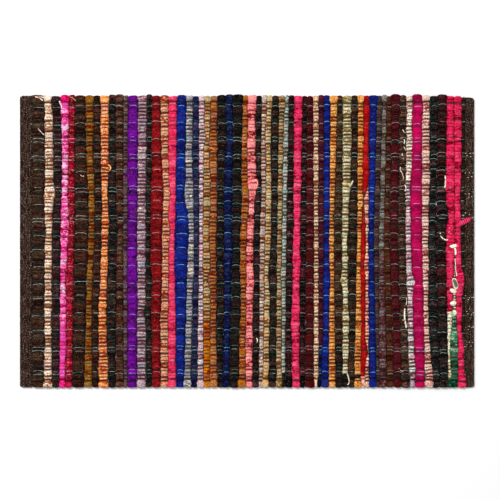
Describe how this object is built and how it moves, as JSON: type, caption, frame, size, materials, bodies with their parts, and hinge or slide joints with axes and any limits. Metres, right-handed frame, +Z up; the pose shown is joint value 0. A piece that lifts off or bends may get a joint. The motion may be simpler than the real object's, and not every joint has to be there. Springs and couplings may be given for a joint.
{
  "type": "rag rug",
  "caption": "Handwoven rag rug, lying flat: thick torn-cloth strips in many colours bound by thin cotton warps, with a finer heading at each end.",
  "frame": {"origin": "middle of the underside, on the floor", "axes": "+X along the rug's length, across the rag strips; +Y along the strips; +Z up"},
  "size_m": [0.9, 0.58, 0.0096],
  "materials": {
    "cloth": "matt woven cotton rags in many colours"
  },
  "bodies": {
    "root": {"rug": "cloth"}
  },
  "joints": []
}
